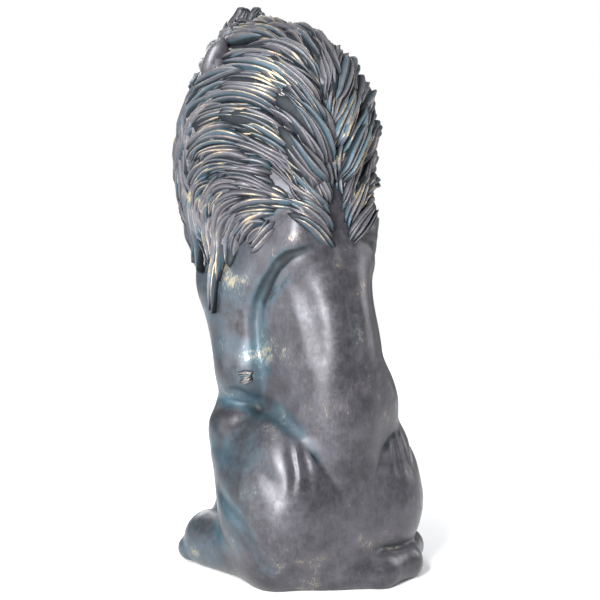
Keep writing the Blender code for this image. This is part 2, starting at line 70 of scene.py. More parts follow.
# Rows of locks: how far round from the nape in degrees, and the heights of their lowest and highest roots
MANE_ROWS = (
    (128, 0.640, 0.78),
    (104, 0.645, 0.84),
    (78, 0.650, 0.875),
    (52, 0.645, 0.905),
    (27, 0.632, 0.900),
    (4, 0.575, 0.890),
)


def vector(place):
    return np.array(place, dtype=float)


def between(a, b, share):
    return vector(a) + (vector(b) - vector(a)) * share


def turned(x=0.0, y=0.0, z=0.0):
    """The axes of a form turned by these degrees about X, then Y, then Z."""
    turn = Matrix.Rotation(math.radians(z), 3, "Z") @ Matrix.Rotation(math.radians(y), 3, "Y")
    return np.array(turn @ Matrix.Rotation(math.radians(x), 3, "X"))


def lengths_of(vectors):
    return np.maximum(np.linalg.norm(vectors, axis=-1, keepdims=True), 1e-12)


class Mass:
    """A rounded mass of muscle or hair: an ellipsoid."""

    def __init__(self, centre, radii, turn=None, blend=0.03):
        self.centre = vector(centre)
        self.radii = vector(radii)
        self.turn = turned() if turn is None else turn
        self.blend = blend

    def distance(self, points):
        local = (points - self.centre) @ self.turn / self.radii
        reach = np.linalg.norm(local, axis=1)
        slope = np.linalg.norm(local / self.radii, axis=1)
        return reach * (reach - 1.0) / np.maximum(slope, 1e-9)

    def block(self, mesh):
        turn = Matrix(self.turn.tolist()).to_4x4()
        scale = Matrix.Diagonal(Vector((*self.radii, 1.0)))
        matrix = Matrix.Translation(Vector(self.centre)) @ turn @ scale
        bmesh.ops.create_uvsphere(mesh, u_segments=32, v_segments=20, radius=1.0, matrix=matrix)


class Limb:
    """A limb: a round bar from one place to another, with a radius at each end."""

    def __init__(self, start, end, start_radius, end_radius, blend=0.03):
        self.start = vector(start)
        self.end = vector(end)
        self.start_radius = start_radius
        self.end_radius = end_radius
        self.blend = blend

    def distance(self, points):
        along = self.end - self.start
        share = np.clip((points - self.start) @ along / (along @ along), 0.0, 1.0)
        radius = self.start_radius + (self.end_radius - self.start_radius) * share
        return np.linalg.norm(points - self.start - share[:, None] * along, axis=1) - radius

    def block(self, mesh):
        start, end = Vector(self.start), Vector(self.end)
        for centre, radius in ((start, self.start_radius), (end, self.end_radius)):
            place = Matrix.Translation(centre)
            bmesh.ops.create_uvsphere(mesh, u_segments=24, v_segments=16, radius=radius, matrix=place)
        axis = (end - start).to_track_quat("Z", "Y").to_matrix().to_4x4()
        bmesh.ops.create_cone(
            mesh,
            cap_ends=True,
            segments=24,
            radius1=self.start_radius,
            radius2=self.end_radius,
            depth=(end - start).length,
            matrix=Matrix.Translation((start + end) / 2) @ axis,
        )


class Stroke:
    """A groove (depth above 0) or a ridge (depth below 0) along a line that lies near the skin."""

    def __init__(self, places, width, depth):
        self.places = [vector(p) for p in places]
        self.width = width
        self.depth = depth

    def height(self, points):
        nearest = np.full(len(points), 1e9)
        fade = np.zeros(len(points))
        count = len(self.places) - 1
        for i in range(count):
            start, end = self.places[i], self.places[i + 1]
            along = end - start
            share = np.clip((points - start) @ along / (along @ along), 0.0, 1.0)
            away = np.linalg.norm(points - start - share[:, None] * along, axis=1)
            closer = away < nearest
            nearest = np.where(closer, away, nearest)
            fade = np.where(closer, (i + share) / count, fade)
        taper = np.clip(4.0 * fade * (1.0 - fade) + 0.05, 0.0, 1.0) ** 0.8
        return self.depth * taper * np.exp(-((nearest / self.width) ** 2))


def soft_union(a, b, blend):
    """The smaller of two distances, with a fillet where they are alike."""
    near = np.maximum(blend - np.abs(a - b), 0.0) / blend
    return np.minimum(a, b) - near * near * blend / 4.0


class Figure:
    """Paired forms, which the lion's right half repeats, forms on one side only, and strokes."""

    def __init__(self, paired, single=(), strokes=()):
        self.paired = list(paired)
        self.single = list(single)
        self.strokes = list(strokes)

    def distance(self, points):
        folded = points.copy()
        folded[:, 0] = np.abs(folded[:, 0])
        total = np.full(len(points), 1e3)
        for form in self.paired:
            total = soft_union(total, form.distance(folded), form.blend)
        for form in self.single:
            total = soft_union(total, form.distance(points), form.blend)
        for stroke in self.strokes:
            total = total + stroke.height(folded)
        return total

    def settled(self, points, rounds=4):
        """The points moved onto the skin, and the way out there."""
        step = 0.0006
        for _ in range(rounds):
            here = self.distance(points)
            slope = np.empty_like(points)
            for axis in range(3):
                beside = points.copy()
                beside[:, axis] += step
                slope[:, axis] = self.distance(beside) - here
            slope /= lengths_of(slope)
            points = points - slope * np.clip(here, -0.02, 0.02)[:, None]
        return points, slope

    def pieces(self):
        """All the forms as overlapping balls and bars, in shares of the height."""
        made = []
        for form in self.paired + self.single:
            mesh = bmesh.new()
            form.block(mesh)
            made.append(arrays_of(mesh))
            mesh.free()
        for points, faces in made[: len(self.paired)]:
            made.append((points * (-1.0, 1.0, 1.0), [face[::-1] for face in faces]))
        return made


def arrays_of(mesh):
    mesh.verts.index_update()
    points = np.array([v.co for v in mesh.verts])
    return points, [[v.index for v in face.verts] for face in mesh.faces]


def joined_mesh(name, pieces):
    """One mesh from several (points, faces), left as separate shells."""
    starts = np.cumsum([0] + [len(points) for points, _ in pieces])
    faces = [[i + start for i in face] for (_, part), start in zip(pieces, starts) for face in part]
    mesh = bpy.data.meshes.new(name)
    mesh.from_pydata(np.concatenate([points for points, _ in pieces]).tolist(), [], faces)
    return mesh


def trunk():
    return [
        Mass((0, 0.020, 0.575), (0.106, 0.136, 0.125), blend=0.05),
        Mass((0, 0.052, 0.440), (0.106, 0.142, 0.180), turn=turned(x=-8), blend=0.06),
        Mass((0, 0.110, 0.300), (0.097, 0.116, 0.180), turn=turned(x=-6), blend=0.06),
        Mass((0, 0.124, 0.110), (0.120, 0.101, 0.165), blend=0.05),
        Mass((0, 0.000, 0.150), (0.074, 0.070, 0.230), blend=0.03),
    ]


def forequarter():
    chest = (0.045, -0.085, 0.480)
    mid_forearm = between(ELBOW, WRIST, 0.35)
    return [
        Limb(SCAPULA, SHOULDER, 0.046, 0.062, blend=0.045),
        Mass((0.058, 0.116, 0.612), (0.036, 0.034, 0.046), blend=0.022),
        Limb(SHOULDER, ELBOW, 0.062, 0.048, blend=0.030),
        Limb((0.088, 0.030, 0.520), (0.099, 0.040, 0.368), 0.046, 0.028, blend=0.030),
        Limb(chest, SHOULDER, 0.070, 0.058, blend=0.045),
        Mass((0.100, -0.008, 0.450), (0.050, 0.062, 0.085), blend=0.025),
        Limb(ELBOW, mid_forearm, 0.045, 0.045, blend=0.035),
        Limb(mid_forearm, WRIST, 0.047, 0.034, blend=0.02),
        Limb(WRIST, FOREPAW, 0.035, 0.040, blend=0.02),
    ]


def toes(paw, reach, spread, radius, lift):
    """Four toes side by side in front of a paw's middle."""
    made = []
    for i in range(4):
        share = (i - 1.5) / 1.5
        root = (paw[0] + 0.60 * spread * share, paw[1] + 0.010, lift + 0.014)
        tip_y = paw[1] - reach * (1.0 - 0.20 * share * share)
        tip = (paw[0] + spread * share, tip_y, lift)
        made.append(Limb(root, tip, radius * 0.95, radius, blend=0.006))
    return made


def hindquarter():
    mid_shin = between(KNEE, HOCK, 0.55)
    return [
        Limb(HIP, KNEE, 0.104, 0.057, blend=0.010),
        Mass((0.084, 0.100, 0.140), (0.104, 0.112, 0.165), blend=0.022),
        Limb((0.122, 0.012, 0.215), (0.140, 0.080, 0.120), 0.042, 0.044, blend=0.03),
        Limb(KNEE, mid_shin, 0.048, 0.044, blend=0.02),
        Limb(mid_shin, HOCK, 0.044, 0.046, blend=0.02),
        Limb(HOCK, HINDPAW, 0.042, 0.053, blend=0.02),
    ]


def head():
    return [
        Mass((0, -0.108, 0.890), (0.080, 0.088, 0.080), blend=0.02),
        Mass((0, -0.176, 0.922), (0.048, 0.032, 0.032), blend=0.02),
        Limb((0.012, -0.198, 0.914), (0.013, -0.266, 0.882), 0.024, 0.018, blend=0.016),
        Limb((0.020, -0.200, 0.880), (0.030, -0.226, 0.862), 0.024, 0.024, blend=0.014),
        Mass((0.021, -0.258, 0.853), (0.029, 0.037, 0.030), blend=0.010),
        Mass((0.034, -0.240, 0.840), (0.022, 0.036, 0.025), blend=0.014),
        Mass((0, -0.250, 0.818), (0.027, 0.029, 0.023), blend=0.008),
        Limb((0.006, -0.232, 0.816), (0.046, -0.160, 0.822), 0.024, 0.036, blend=0.016),
        Mass((0.056, -0.158, 0.860), (0.034, 0.052, 0.044), blend=0.02),
        Limb((0.034, -0.206, 0.872), (0.070, -0.164, 0.884), 0.012, 0.014, blend=0.016),
        Limb((0.014, -0.208, 0.920), (0.042, -0.203, 0.925), 0.011, 0.011, blend=0.018),
        Limb((0.042, -0.203, 0.925), (0.066, -0.178, 0.912), 0.011, 0.008, blend=0.018),
    ]


def ears():
    """Upright leaf-shaped ears, cupped forwards, with a blunt tip."""
    lean = turned(x=-6, y=-20, z=-18)
    return [
        Limb((0.080, -0.082, 0.872), (0.096, -0.083, 0.892), 0.020, 0.016, blend=0.012),
        Mass(EAR, (0.022, 0.0115, 0.040), turn=lean, blend=0.008),
        Limb((0.098, -0.085, 0.928), (0.092, -0.085, 0.944), 0.010, 0.005, blend=0.008),
    ]


def forelocks():
    """Upright tufts of hair over the forehead."""
    return [
        Limb((0.012, -0.164, 0.940), (0.020, -0.162, 0.968), 0.024, 0.015, blend=0.012),
        Limb((0.020, -0.162, 0.968), (0.016, -0.150, 0.9920), 0.015, 0.0100, blend=0.006),
        Limb((0.028, -0.160, 0.940), (0.032, -0.152, 0.964), 0.016, 0.006, blend=0.008),
        Limb((0.008, -0.140, 0.950), (0.010, -0.120, 0.985), 0.018, 0.007, blend=0.010),
    ]


def face_strokes():
    mouth = [(0, -0.288, 0.832), (0.022, -0.282, 0.824), (0.042, -0.252, 0.822), (0.062, -0.206, 0.836)]
    return [
        Stroke([(0.022, -0.214, 0.897), (0.038, -0.210, 0.900), (0.054, -0.196, 0.898)], 0.011, 0.010),
        Stroke([(0, -0.302, 0.866), (0, -0.296, 0.848), (0, -0.286, 0.832)], 0.005, 0.008),
        Stroke(mouth, 0.006, 0.010),
        Stroke([(0.012, -0.278, 0.813), (0.030, -0.262, 0.808), (0.048, -0.220, 0.802)], 0.007, 0.006),
        Stroke([(0, -0.214, 0.934), (0, -0.200, 0.962)], 0.009, 0.006),
        Stroke([(0.106, -0.099, 0.894), (0.100, -0.099, 0.922)], 0.013, 0.009),
    ]


def face_details():
    return [
        Mass((0.038, -0.203, 0.8985), (0.0125, 0.0120, 0.0115)),
        Limb((0.021, -0.213, 0.894), (0.037, -0.2155, 0.9095), 0.0040, 0.0050),
        Limb((0.037, -0.2155, 0.9095), (0.057, -0.200, 0.900), 0.0050, 0.0040),
        Limb((0.021, -0.213, 0.893), (0.038, -0.2125, 0.8865), 0.0035, 0.0042),
        Limb((0.038, -0.2125, 0.8865), (0.056, -0.199, 0.895), 0.0042, 0.0035),
        Limb((0, -0.281, 0.889), (0.018, -0.276, 0.888), 0.0105, 0.0080),
        Limb((0, -0.289, 0.877), (0.012, -0.283, 0.880), 0.0090, 0.0075),
    ]


def body_strokes():
    """Folds, hollows and raised muscles of the left half."""
    fold = [(0.034, 0.157, 0.608), (0.062, 0.149, 0.597), (0.085, 0.129, 0.586), (0.097, 0.109, 0.567)]
    fold += [(0.104, 0.088, 0.534), (0.111, 0.072, 0.501), (0.116, 0.068, 0.462), (0.115, 0.073, 0.421)]
    fold += [(0.117, 0.078, 0.395)]
    knee_crease = [(0.106, 0.060, 0.318), (0.102, 0.090, 0.312), (0.100, 0.122, 0.302)]
    knee_crease += [(0.095, 0.150, 0.289), (0.090, 0.172, 0.270)]
    knee_top = [(0.156, 0.000, 0.330), (0.150, 0.020, 0.335), (0.141, 0.040, 0.337)]
    knee_top += [(0.128, 0.050, 0.330), (0.112, 0.054, 0.320), (0.102, 0.062, 0.314)]
    shin = [(0.183, 0.041, 0.177), (0.190, 0.089, 0.153), (0.186, 0.129, 0.131), (0.180, 0.145, 0.109)]
    shin += [(0.169, 0.154, 0.081), (0.148, 0.165, 0.045)]
    return [
        Stroke([(0, 0.152, 0.660), (0, 0.166, 0.610), (0, 0.178, 0.560)], 0.016, 0.011),
        Stroke([(0, 0.180, 0.545), (0, 0.190, 0.490), (0, 0.202, 0.420), (0, 0.210, 0.360)], 0.012, 0.005),
        Stroke(fold, 0.012, 0.007),
        Stroke(fold, 0.006, 0.002),
        Stroke([(0.119, 0.079, 0.400), (0.112, 0.082, 0.365), (0.106, 0.076, 0.330)], 0.010, 0.004),
        Stroke([(0.086, 0.142, 0.560), (0.072, 0.152, 0.515), (0.060, 0.170, 0.460), (0.060, 0.190, 0.400)],
               0.020, 0.0045),
        Stroke([(0.106, 0.080, 0.350), (0.099, 0.120, 0.338), (0.090, 0.155, 0.312)], 0.028, 0.009),
        Stroke(knee_crease, 0.013, 0.010),
        Stroke(knee_top, 0.009, 0.005),
        Stroke([(0.107, 0.160, 0.276), (0.112, 0.180, 0.245), (0.115, 0.193, 0.216), (0.124, 0.198, 0.186)],
               0.006, 0.005),
        Stroke([(0.100, 0.170, 0.268), (0.104, 0.186, 0.241), (0.104, 0.197, 0.210)], 0.006, -0.003),
        Stroke([(0.091, 0.174, 0.270), (0.094, 0.190, 0.243), (0.093, 0.199, 0.215), (0.091, 0.208, 0.186)],
               0.006, 0.005),
        Stroke([(0.080, 0.186, 0.255), (0.078, 0.196, 0.234), (0.074, 0.203, 0.210)], 0.009, -0.003),
        Stroke([(0.087, 0.178, 0.268), (0.062, 0.202, 0.225), (0.037, 0.214, 0.180)], 0.007, 0.005),
        Stroke([(0.150, 0.092, 0.268), (0.159, 0.152, 0.224), (0.136, 0.191, 0.188)], 0.018, 0.007),
        Stroke([(0.170, 0.005, 0.240), (0.167, 0.070, 0.235), (0.170, 0.117, 0.225)], 0.015, 0.005),
        Stroke(shin, 0.010, 0.009),
        Stroke([(0.140, -0.010, 0.110), (0.150, 0.050, 0.090), (0.150, 0.100, 0.060)], 0.012, 0.010),
    ]


def mane_core():
    return [
        Mass((0, -0.045, 0.857), (0.116, 0.137, 0.099), turn=turned(x=-16), blend=0.04),
        Mass((0, -0.038, 0.748), (0.160, 0.165, 0.165), blend=0.05),
        Mass((0, -0.090, 0.620), (0.136, 0.120, 0.165), blend=0.06),
        Mass((0, 0.000, 0.645), (0.112, 0.130, 0.100), blend=0.06),
    ]


def raised_haunch():
    """The top of the lion's right haunch, against the flank."""
    return [Mass((-0.068, 0.138, 0.308), (0.057, 0.057, 0.078), blend=0.03)]


def tail():
    route = [
        (0.010, 0.184, 0.034),
        (-0.050, 0.210, 0.026),
        (-0.114, 0.194, 0.028),
        (-0.169, 0.124, 0.030),
        (-0.187, 0.036, 0.028),
        (-0.186, -0.040, 0.028),
        (-0.170, -0.096, 0.026),
    ]
    radii = [0.038, 0.034, 0.031, 0.029, 0.026, 0.032, 0.016]
    made = []
    for i in range(len(route) - 1):
        made.append(Limb(route[i], route[i + 1], radii[i], radii[i + 1], blend=0.010))
    return made


def skin_under_mane():
    return Figure(trunk() + forequarter() + mane_core() + head())


def pitched_flow(side, angle, pitch):
    """The way round the neck, away from the nape, that climbs at this pitch in degrees."""
    climb = np.radians(pitch)
    level = np.cos(climb)
    return np.stack([side * level * np.cos(angle), -level * np.sin(angle), np.sin(climb)], axis=1)


def nape_flow(points, side):
    """Up out of the parting on the nape, over, and down round the neck."""
    angle = np.arctan2(np.abs(points[:, 0]), points[:, 1] - NECK_MIDDLE)
    turn_over = [0, 15, 35, 55, 80, 105, 130, 180]
    climb = [74, 58, 30, 4, -30, -62, -88, -98]
    pitch = np.interp(np.degrees(angle), turn_over, climb)
    low = np.clip((0.70 - points[:, 2]) / 0.10, 0.0, 1.0)
    return pitched_flow(side, angle, pitch - low * 72.0 * np.clip(np.degrees(angle) / 34.0, 0.2, 1.0))


def crown_flow(points, side):
    """Back over the crown, and together towards the parting."""
    across = -0.35 * points[:, 0] / 0.08
    return np.stack([across, np.full(len(points), 1.0), np.full(len(points), -0.15)], axis=1)


def face_flow(points, side):
    """Outwards from the face and back, then down the further it is from the face."""
    out = points - vector(FACE)
    away = np.linalg.norm(out, axis=1)
    out[:, 1] = 0.0
    out /= lengths_of(out)
    fall = np.clip((away - 0.09) / 0.07, 0.0, 1.5)
    return out * (1.0, 1.0, 0.8) + np.stack([0 * fall, 0.75 - 0.3 * fall, -0.2 - 1.1 * fall], axis=1)


def chest_flow(points, side):
    """Down the chest, a little outwards."""
    return np.stack([points[:, 0] * 1.4, np.full(len(points), -0.1), np.full(len(points), -1.0)], axis=1)


class Locks:
    """Locks of hair that grow together: their lines on the skin, the way out, and their sizes."""

    def __init__(self, skin, flow, side, roots, lengths, widths, bends, lifts, steps=9):
        roots, out = skin.settled(vector(roots), rounds=5)
        lines, outs = [roots], [out]
        lengths = vector(lengths)
        for i in range(steps):
            way = flow(lines[-1], side)
            way /= lengths_of(way)
            turn = vector(bends) * (2.0 * (i + 0.5) / steps - 1.0)
            way = way + np.cross(outs[-1], way) * turn[:, None]
            way -= outs[-1] * np.sum(way * outs[-1], axis=1, keepdims=True)
            way /= lengths_of(way)
            points, out = skin.settled(lines[-1] + way * (lengths / steps)[:, None], rounds=2)
            lines.append(points)
            outs.append(out)
        self.lines = np.array(lines).transpose(1, 0, 2)
        self.outs = np.array(outs).transpose(1, 0, 2)
        self.widths = vector(widths)
        self.lifts = vector(lifts)
        self.side = side


class Rows:
    """Rows of locks for one half: their flow, and the place, length, width, bend and lift of each lock."""

    def __init__(self, chance, side):
        self.chance = chance
        self.side = side
        self.made = []

    def row(self, flow, places, length, width, lift):
        vary = self.chance.uniform
        size = [vary(0.78, 1.25) for _ in places]
        self.made.append((
            flow,
            [(self.side * x, y, z) for x, y, z in places],
            [length * s for s in size],
            [width * s * vary(0.85, 1.15) for s in size],
            [self.side * vary(-0.35, 0.35) for _ in places],
            [lift * vary(0.7, 1.25) for _ in places],
        ))

    def round_neck(self, degrees, low, high, pitch, radius=0.165):
        """Roots one above the other, this far round the neck from the nape."""
        count = int((high - low) / pitch)
        made = []
        for i in range(count + 1):
            angle = math.radians(degrees + self.chance.uniform(-8, 8) * min(1.0, degrees / 20))
            z = low + (high - low) * (i + self.chance.uniform(-0.30, 0.30)) / count
            made.append((radius * math.sin(angle), NECK_MIDDLE + radius * math.cos(angle), z))
        return made

    def round_face(self, radius, first, last, count, back):
        """Roots on a ring round the face, from these degrees to these, that far behind its middle."""
        made = []
        for i in range(count):
            share = (i + self.chance.uniform(-0.2, 0.2)) / (count - 1)
            angle = math.radians(first + (last - first) * share)
            place = (radius * math.sin(angle), FACE[1] + back, FACE[2] + radius * math.cos(angle))
            if back < 0.0 or math.dist(place, EAR) > 0.052:
                made.append(place)
        return made


def lock_rows(chance, side):
    """The mane's locks, from the chest and the nape to the face."""
    rows = Rows(chance, side)
    for i, low in enumerate(np.arange(0.485, 0.76, 0.046)):
        climb = 0.9 if i < 2 else 0.4
        places = []
        for x in np.arange(0.016, 0.13, 0.033):
            aside = chance.uniform(-0.006, 0.006)
            places.append((x + aside, -0.20, low + chance.uniform(-0.012, 0.012) + climb * x))
        rows.row(chest_flow, places, 0.110, 0.040, 1.0)
    for degrees, foot, top in MANE_ROWS:
        places = rows.round_neck(degrees, foot, top, 0.033)
        rows.row(nape_flow, places[:3], 0.110, 0.032, 0.60)
        rows.row(nape_flow, places[3:], 0.145, 0.040, 0.9 + (130 - degrees) * 0.003)
    rows.row(face_flow, rows.round_face(0.132, 62, 150, 8, 0.07), 0.130, 0.040, 1.1)
    rows.row(face_flow, rows.round_face(0.112, 66, 165, 9, 0.03), 0.115, 0.038, 1.1)
    rows.row(face_flow, rows.round_face(0.088, 60, 174, 9, -0.01), 0.085, 0.034, 1.1)
    rows.row(face_flow, rows.round_face(0.084, 16, 48, 3, -0.01), 0.060, 0.030, 0.5)
    crown = [(x, y, 0.96) for y in (0.03, -0.02, -0.07, -0.12) for x in (0.014, 0.044, 0.070)]
    rows.row(crown_flow, crown, 0.120, 0.036, 0.9)
    return rows.made


def grown(rows, skin, side):
    return [Locks(skin, flow, side, *sizes) for flow, *sizes in rows]


def mane(seed=7):
    skin = skin_under_mane()
    chance = random.Random(seed)
    made = []
    for side in (1.0, -1.0):
        made += grown(lock_rows(chance, side), skin, side)
    return made


def blades(locks, thickness=0.30, tilt=0.17, across=7):
    """Each lock as one closed leaf: a ridged back with its upper edge raised, coming to a point."""
    pieces = []
    spread = np.linspace(-1.0, 1.0, across)[:, None]
    crest = 1.0 - np.abs(spread) ** 1.7
    count = locks.lines.shape[1]
    along = np.linspace(0.0, 1.0, count)
    swell = np.interp(along, [0, 0.15, 0.40, 0.70, 0.90, 1.0], [0.40, 0.78, 1.0, 0.78, 0.40, 0.06])
    rise = np.interp(along, [0.0, 0.25, 0.7, 1.0], [-0.45, 0.10, 0.30, 0.28])
    for line, outs, width, lift in zip(locks.lines, locks.outs, locks.widths, locks.lifts):
        way = np.gradient(line, axis=0)
        way /= lengths_of(way)
        beside = np.cross(outs, way) * locks.side
        beside /= lengths_of(beside)
        rings = []
        for i in range(count):
            wide = width * swell[i]
            middle = line[i] + outs[i] * rise[i] * lift * width
            height = (crest * thickness - spread * tilt) * wide
            top = middle + beside[i] * spread * wide / 2 + outs[i] * height
            under = line[i] - outs[i] * width * 0.35 + beside[i] * wide * np.array([[0.3], [-0.3]])
            ring = np.concatenate([top, under])
            rings.append(ring if locks.side > 0 else ring[::-1])
        pieces.append(closed_rings(rings))
    return pieces


def closed_rings(rings):
    """A closed skin through rings of as many points each."""
    around = len(rings[0])
    points = np.concatenate(rings)
    faces = []
    for low in range(0, (len(rings) - 1) * around, around):
        for j in range(around):
            after = (j + 1) % around
            faces.append([low + j, low + after, low + around + after, low + around + j])
    faces.append(list(range(around))[::-1])
    faces.append([len(points) - around + j for j in range(around)])
    return points, faces


def new_object(name, mesh_data):
    made = bpy.data.objects.new(name, mesh_data)
    bpy.context.scene.collection.objects.link(made)
    return made


def points_of(mesh_data):
    flat = np.empty(len(mesh_data.vertices) * 3)
    mesh_data.vertices.foreach_get("co", flat)
    return flat.reshape(-1, 3)


def move_points(mesh_data, points):
    mesh_data.vertices.foreach_set("co", points.ravel())
    mesh_data.update()


def evaluated_mesh(obj):
    graph = bpy.context.evaluated_depsgraph_get()
    made = bpy.data.meshes.new_from_object(obj.evaluated_get(graph))
    bpy.data.objects.remove(obj)
    return made


def voxel_fused(mesh_data, size, smoothing=0):
    """One closed skin round everything in the mesh."""
    helper = new_object("fusing", mesh_data)
    remesh = helper.modifiers.new("fuse", "REMESH")
    remesh.mode = "VOXEL"
    remesh.voxel_size = size
    if smoothing:
        smooth = helper.modifiers.new("smooth", "SMOOTH")
        smooth.factor = 0.5
        smooth.iterations = smoothing
    return evaluated_mesh(helper)


def cut_flat(mesh_data):
    """The mesh without what is under the ground, closed there with a flat face."""
    mesh = bmesh.new()
    mesh.from_mesh(mesh_data)
    everything = mesh.verts[:] + mesh.edges[:] + mesh.faces[:]
    cut = bmesh.ops.bisect_plane(mesh, geom=everything, plane_no=(0, 0, 1), clear_inner=True)
    rim = [item for item in cut["geom_cut"] if isinstance(item, bmesh.types.BMEdge)]
    bmesh.ops.contextual_create(mesh, geom=rim)
    mesh.to_mesh(mesh_data)
    mesh.free()


def paint(mesh_data, **layers):
    """Stores a number, or three, for each point, under each name, for the materials to read."""
    for name, values in layers.items():
        kind, field = ("FLOAT_VECTOR", "vector") if values.ndim == 2 else ("FLOAT", "value")
        layer = mesh_data.attributes.new(name, kind, "POINT")
        layer.data.foreach_set(field, values.astype(np.float32).ravel())


def relief(figure, points, out):
    """How far each point lies in a hollow and on a crest of the figure, from 0 to 1."""
    hollow = np.zeros(len(points))
    crest = np.zeros(len(points))
    for reach, weight in ((0.006, 0.5), (0.024, 0.5)):
        above = figure.distance(points + out * reach)
        below = figure.distance(points - out * reach)
        hollow += weight * np.clip((reach - above) / reach * 2.2, 0.0, 1.0)
        crest += weight * np.clip((below + reach) / reach * 2.2, 0.0, 1.0)
    return hollow, crest


def finished(name, mesh_data, material):
    """A piece of the statue in the frame's place and size."""
    mesh_data.transform(Matrix.Scale(HEIGHT, 4))
    mesh_data.transform(Matrix.Translation((-MIDDLE[0], -MIDDLE[1], 0.0)))
    mesh_data.materials.clear()
    mesh_data.materials.append(material)
    mesh_data.shade_smooth()
    piece = new_object(name, mesh_data)
    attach(piece, "root")
    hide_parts("lion")
    return piece


def fine_strokes():
    """Thin skin folds that fan out behind the shoulder."""
    made = []
    for i in range(5):
        over = 0.0085 * (i - 1)
        line = [
            (0.062 - 0.4 * over, 0.146 + 0.3 * over, 0.592 - over),
            (0.087 - 0.4 * over, 0.127 + 0.6 * over, 0.562 - over),
            (0.098 - 0.2 * over, 0.103 + over, 0.525 - 0.5 * over),
            (0.105 - 0.2 * over, 0.083 + over, 0.488),
        ]
        made.append(Stroke(line, 0.0036, 0.0022))
    return made


def body_figure():
    paired = trunk() + forequarter() + hindquarter() + mane_core()
    paired += toes(FOREPAW, 0.034, 0.028, 0.0195, 0.024)
    paired += toes(HINDPAW, 0.034, 0.031, 0.0240, 0.028)
    return Figure(paired, tail() + raised_haunch(), body_strokes() + fine_strokes())


def elbow_flow(points, side):
    """Out of a whorl behind the elbow."""
    out = points - vector((side * 0.118, 0.070, 0.375))
    return out * (1.0, 1.0, 0.7) + (0.0, -0.004, 0.0)


def thinned(mesh_data, most, bare=0.66):
    """The mesh with no more triangles than this, and fewest of them above this height."""
    mesh_data.calc_loop_triangles()
    helper = new_object("thinning", mesh_data)
    under = helper.vertex_groups.new(name="open")
    points = points_of(mesh_data)
    height = np.clip((bare - points[:, 2]) / 0.06, 0.0, 1.0)
    for level in range(11):
        chosen = np.flatnonzero(np.round(height * 10).astype(int) == level)
        under.add(chosen.tolist(), 0.1 + 0.09 * level, "REPLACE")
    decimate = helper.modifiers.new("thin", "DECIMATE")
    decimate.ratio = min(most / len(mesh_data.loop_triangles), 1.0)
    decimate.use_collapse_triangulate = True
    decimate.vertex_group = "open"
    decimate.vertex_group_factor = 6.0
    return evaluated_mesh(helper)


def weathered(points):
    """How much blue-green is left at each point, from 0 to 1: most low on the lion's left and front."""
    aside = 0.85 * points[:, 0] - 0.53 * points[:, 1]
    low = np.clip((0.62 - points[:, 2]) / 0.30, 0.0, 1.0)
    return np.clip(0.42 + 3.2 * aside + 0.15 * low, 0.0, 1.0)


def make_body(material):
    figure = body_figure()
    skin = voxel_fused(joined_mesh("body", figure.pieces()), BODY_VOXEL / HEIGHT)
    points, _ = figure.settled(points_of(skin))
    move_points(skin, points)
    skin = voxel_fused(skin, BODY_VOXEL / HEIGHT, smoothing=1)
    cut_flat(skin)
    skin = thinned(skin, BODY_TRIANGLES)
    points = points_of(skin)
    _, out = figure.settled(points, rounds=1)
    hollow, crest = relief(figure, points, out)
    # hollow carries the blue-green in the recesses and the painted shade in the deepest of them; crest
    # carries the painted highlight on the ridges and where gold is rubbed on
    paint(skin, hollow=hollow, crest=crest * 0.6, tone=weathered(points), hair=points * HEIGHT)
    return finished("lion_body", skin, material)


def make_head(material):
    figure = Figure(head() + ears() + forelocks(), (), face_strokes())
    skin = voxel_fused(joined_mesh("head", figure.pieces()), HEAD_BLOCK / HEIGHT)
    points, _ = figure.settled(points_of(skin), rounds=3)
    faces = [list(face.vertices) for face in skin.polygons]
    whole = joined_mesh("head", [(points, faces)] + Figure(face_details()).pieces())
    whole = voxel_fused(whole, HEAD_VOXEL / HEIGHT, smoothing=2)
    whole = thinned(whole, HEAD_TRIANGLES, bare=2.0)
    points = points_of(whole)
    points[:, 2] = np.minimum(points[:, 2], TIP)
    move_points(whole, points)
    fine = Figure(head() + ears() + forelocks() + face_details(), (), face_strokes())
    _, out = fine.settled(points, rounds=1)
    hollow, crest = relief(fine, points, out)
    # hollow carries the blue-green in the recesses and the painted shade in the deepest of them; crest
    # carries the painted highlight on the ridges and where gold is rubbed on
    paint(whole, hollow=hollow, crest=crest * 0.6, tone=np.full(len(points), 0.5), hair=points * HEIGHT)
    return finished("lion_head", whole, material)


def smooth_line(line, at):
    """Places on a smooth curve through a line's points; at runs from 0 to 1."""
    last = len(line) - 1
    where = np.clip(at, 0.0, 1.0) * last
    i = np.minimum(where.astype(int), last - 1)
    f = (where - i)[:, None]
    a, b = line[np.maximum(i - 1, 0)], line[i]
    c, d = line[i + 1], line[np.minimum(i + 2, last)]
    return 0.5 * (2 * b + (c - a) * f + (2 * a - 5 * b + 4 * c - d) * f**2 + (3 * b - a - 3 * c + d) * f**3)


class Hair:
    """Closed strands gathered into one mesh, with what the paint needs at each point."""

    def __init__(self):
        self.pieces = []
        self.layers = {"crest": [], "hollow": [], "tone": [], "hair": []}

    def add(self, points, faces, *values):
        self.pieces.append((points, faces))
        for layer, numbers in zip(self.layers.values(), values):
            layer.append(numbers)

    def piece(self, name, material):
        whole = joined_mesh(name, self.pieces)
        paint(whole, **{key: np.concatenate(values) for key, values in self.layers.items()})
        return finished(name, whole, material)


RINGS = 15
ACROSS = 9
CREST = -0.30  # where a strand's crest runs, from its upper edge at -1 to its lower one at 1


# How a lock is split into strands: how many, how far they draw together, and how proud they stand
Comb = namedtuple("Comb", "number swell level thickness tilt root rings", defaults=(0.3, 0.17, -0.45, RINGS))


